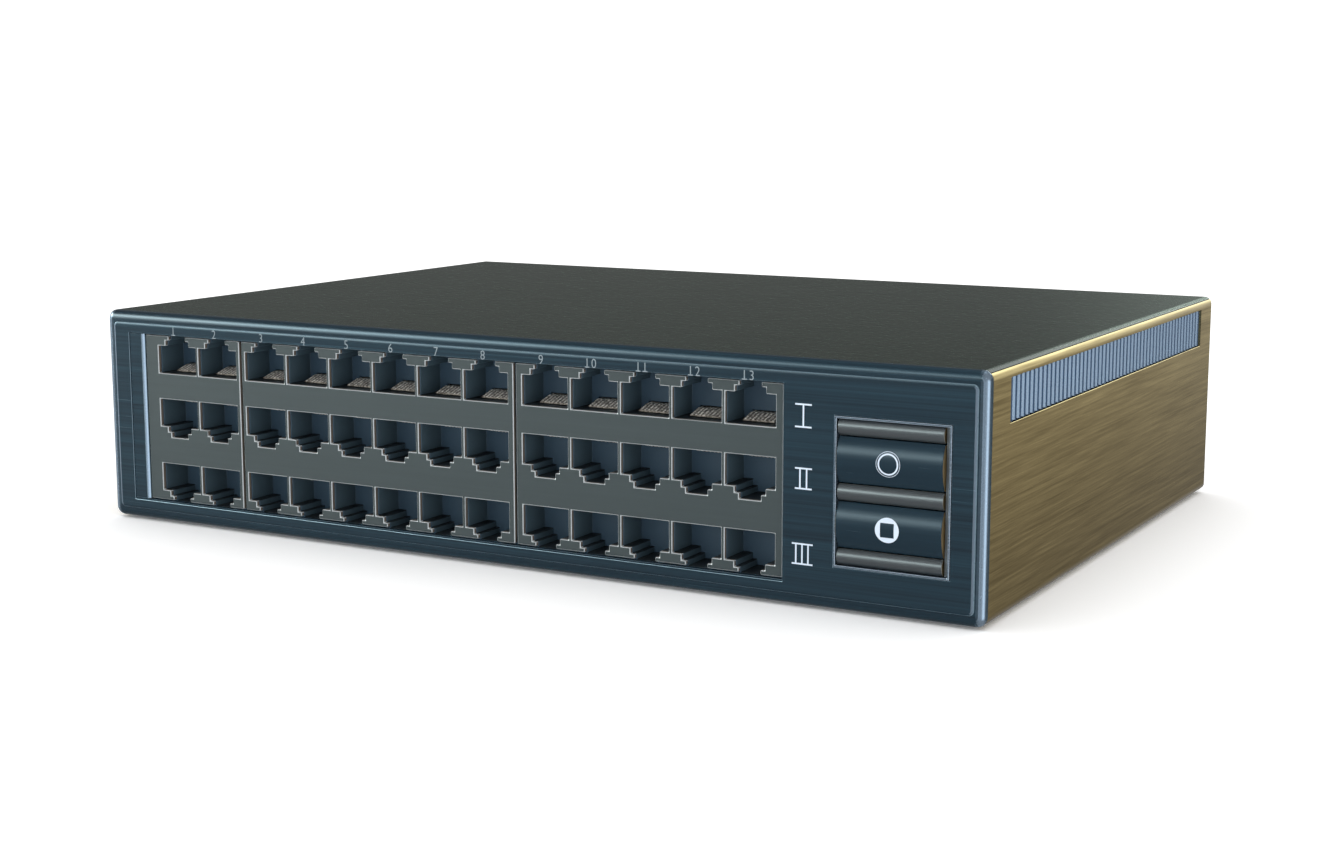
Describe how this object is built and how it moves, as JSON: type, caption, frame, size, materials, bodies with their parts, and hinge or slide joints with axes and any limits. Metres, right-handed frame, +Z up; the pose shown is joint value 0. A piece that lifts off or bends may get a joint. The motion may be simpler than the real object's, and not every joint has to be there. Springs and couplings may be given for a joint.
{
  "type": "network switch",
  "caption": "Half-width network switch with three rows of modular jacks, two push bars beside them, side vents, a rear fan and a mains inlet.",
  "frame": {"origin": "middle of the underside of the whole object's box, on the surface that its feet stand on", "axes": "+X to the right as seen from the front, +Y from the jacks to the rear panel, +Z up"},
  "size_m": [0.254, 0.183, 0.0575],
  "materials": {
    "tray_steel": "plain steel sheet",
    "cover_olive": "dark olive grey, finely brushed",
    "cheek_bronze": "bronze anodised, brushed along the depth",
    "vent_blue": "dark blue ribs, satin",
    "bezel_blue": "dark slate blue, finely mottled",
    "plate_grey": "grey green, satin",
    "jack_navy": "dark navy plastic",
    "contact_gold": "pale gold contacts",
    "bar_grey": "brown grey, satin",
    "cap_blue": "dark blue, satin",
    "trim_blue": "bright edge",
    "board_green": "circuit board",
    "chip_black": "moulded epoxy",
    "plastic_black": "moulded, fine grain",
    "winding_amber": "wound transformer in amber tape",
    "foot_rubber": "soft black rubber",
    "steel_bright": "plated steel",
    "heat_sink_metal": "bare aluminium"
  },
  "bodies": {
    "chassis": {"base_tray": "tray_steel", "rear_panel": "tray_steel", "top_cover": "cover_olive", "side_cheek_left": "cheek_bronze", "side_cheek_right": "cheek_bronze", "vent_grille_left": "vent_blue", "vent_grille_right": "vent_blue", "front_bezel": "bezel_blue", "filler_strip": "bezel_blue", "foot_front_left": "foot_rubber", "foot_front_right": "foot_rubber", "foot_rear_left": "foot_rubber", "foot_rear_right": "foot_rubber", "port_plate_left": "plate_grey", "jack_block_upper_left": "jack_navy", "contact_insert_upper_left": "contact_gold", "jack_block_middle_left": "jack_navy", "contact_insert_middle_left": "contact_gold", "jack_block_lower_left": "jack_navy", "contact_insert_lower_left": "contact_gold", "port_plate_middle": "plate_grey", "jack_block_upper_middle": "jack_navy", "contact_insert_upper_middle": "contact_gold", "jack_block_middle_middle": "jack_navy", "contact_insert_middle_middle": "contact_gold", "jack_block_lower_middle": "jack_navy", "contact_insert_lower_middle": "contact_gold", "port_plate_right": "plate_grey", "jack_block_upper_right": "jack_navy", "contact_insert_upper_right": "contact_gold", "jack_block_middle_right": "jack_navy", "contact_insert_middle_right": "contact_gold", "jack_block_lower_right": "jack_navy", "contact_insert_lower_right": "contact_gold", "control_housing": "bar_grey", "control_trim": "trim_blue", "grip_bar_lower": "bar_grey", "grip_bar_middle": "bar_grey", "grip_bar_upper": "bar_grey", "push_switch_lower": "plastic_black", "push_switch_upper": "plastic_black", "port_board": "board_green", "control_board": "board_green", "main_board": "board_green", "switch_chip": "chip_black", "chip_heat_sink": "heat_sink_metal", "power_board": "board_green", "power_transformer": "winding_amber", "bulk_capacitor": "chip_black", "power_inlet": "plastic_black", "fan_frame": "plastic_black", "rear_screw_lower_left": "steel_bright", "rear_screw_upper_left": "steel_bright", "rear_screw_lower_right": "steel_bright", "rear_screw_upper_right": "steel_bright"},
    "button_lower": {"button_cap_lower": "cap_blue", "switch_plunger_lower": "plastic_black"},
    "button_upper": {"button_cap_upper": "cap_blue", "switch_plunger_upper": "plastic_black"},
    "rotor": {"fan_rotor": "plastic_black"}
  },
  "joints": [
    {"name": "button_lower_press", "type": "slide", "parent": "chassis", "child": "button_lower", "axis": [0, 1, 0], "range_m": [0, 0.0015], "stiffness_N_per_m": 700, "springref_m": -0.001},
    {"name": "button_upper_press", "type": "slide", "parent": "chassis", "child": "button_upper", "axis": [0, 1, 0], "range_m": [0, 0.0015], "stiffness_N_per_m": 700, "springref_m": -0.001},
    {"name": "fan_spin", "type": "hinge", "parent": "chassis", "child": "rotor", "pos_m": [-0.067, 0.0825, 0.0291], "axis": [0, 1, 0], "continuous": true}
  ]
}
